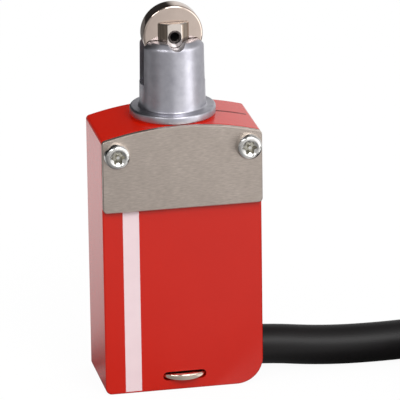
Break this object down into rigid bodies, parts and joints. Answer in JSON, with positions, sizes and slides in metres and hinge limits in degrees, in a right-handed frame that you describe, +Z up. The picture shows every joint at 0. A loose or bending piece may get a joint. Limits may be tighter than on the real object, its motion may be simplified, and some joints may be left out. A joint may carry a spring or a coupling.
{
  "type": "safety limit switch",
  "caption": "Miniature metal safety limit switch with a steel roller plunger head, tamper plate and a moulded-in round cable.",
  "frame": {"origin": "centre of the switch body's flat foot", "axes": "+Z up along the plunger, +Y out of the flat back that is bolted to the machine, +X towards the side where the cable leaves"},
  "size_m": [0.15, 0.0975, 0.0731],
  "materials": {
    "red_enamel": "satin enamel on die-cast zinc",
    "stainless_plate": "brushed stainless sheet",
    "zinc_plated_steel": "bright zinc-plated steel",
    "cast_head": "as-cast and turned zinc alloy",
    "plunger_steel": "ground stainless steel",
    "roller_steel": "polished hardened steel",
    "spring_steel": "drawn wire and strip",
    "nitrile_rubber": "moulded nitrile",
    "contact_brass": "stamped strip",
    "contact_silver": "silver-plated strip",
    "block_plastic": "glass-filled polyamide",
    "carrier_plastic": "moulded acetal",
    "cable_sheath": "extruded black PVC",
    "core_insulation": "extruded PVC"
  },
  "bodies": {
    "switch_body": {"housing": "red_enamel", "tamper_plate": "stainless_plate", "plate_screws": "zinc_plated_steel", "head_housing": "cast_head", "head_fork": "spring_steel", "head_seal": "nitrile_rubber", "plunger_seal": "nitrile_rubber", "spring_seat": "zinc_plated_steel", "plunger_spring": "spring_steel", "contact_base": "block_plastic", "contact_cover": "block_plastic", "fixed_contacts_nc": "contact_brass", "fixed_contacts_no": "contact_brass", "carrier_spring": "spring_steel", "connector_body": "block_plastic", "connector_seal": "nitrile_rubber", "connector_pins": "contact_brass", "connector_fork": "spring_steel", "cable_sleeve": "nitrile_rubber", "cable": "cable_sheath", "cable_coil": "cable_sheath", "cable_cores": "core_insulation", "core_ferrules": "zinc_plated_steel"},
    "plunger": {"plunger": "plunger_steel", "axle_pin": "plunger_steel"},
    "roller": {"roller": "roller_steel"},
    "contact_carrier": {"contact_carrier": "carrier_plastic", "contact_bridges": "contact_silver", "contact_springs": "spring_steel"}
  },
  "joints": [
    {"name": "plunger_slide", "type": "slide", "parent": "switch_body", "child": "plunger", "axis": [0, 0, -1], "range_m": [0, 0.0046], "stiffness_N_per_m": 1500, "springref_m": -0.0033, "deforming": ["plunger_spring"]},
    {"name": "roller_spin", "type": "hinge", "parent": "plunger", "child": "roller", "pos_m": [0, 0, 0.0675], "axis": [0, 1, 0], "continuous": true},
    {"name": "carrier_slide", "type": "slide", "parent": "switch_body", "child": "contact_carrier", "axis": [0, 0, -1], "range_m": [0, 0.0046], "deforming": ["carrier_spring"]}
  ],
  "couplings": [
    {"joint": "carrier_slide", "follows": "plunger_slide", "ratio": 1}
  ]
}
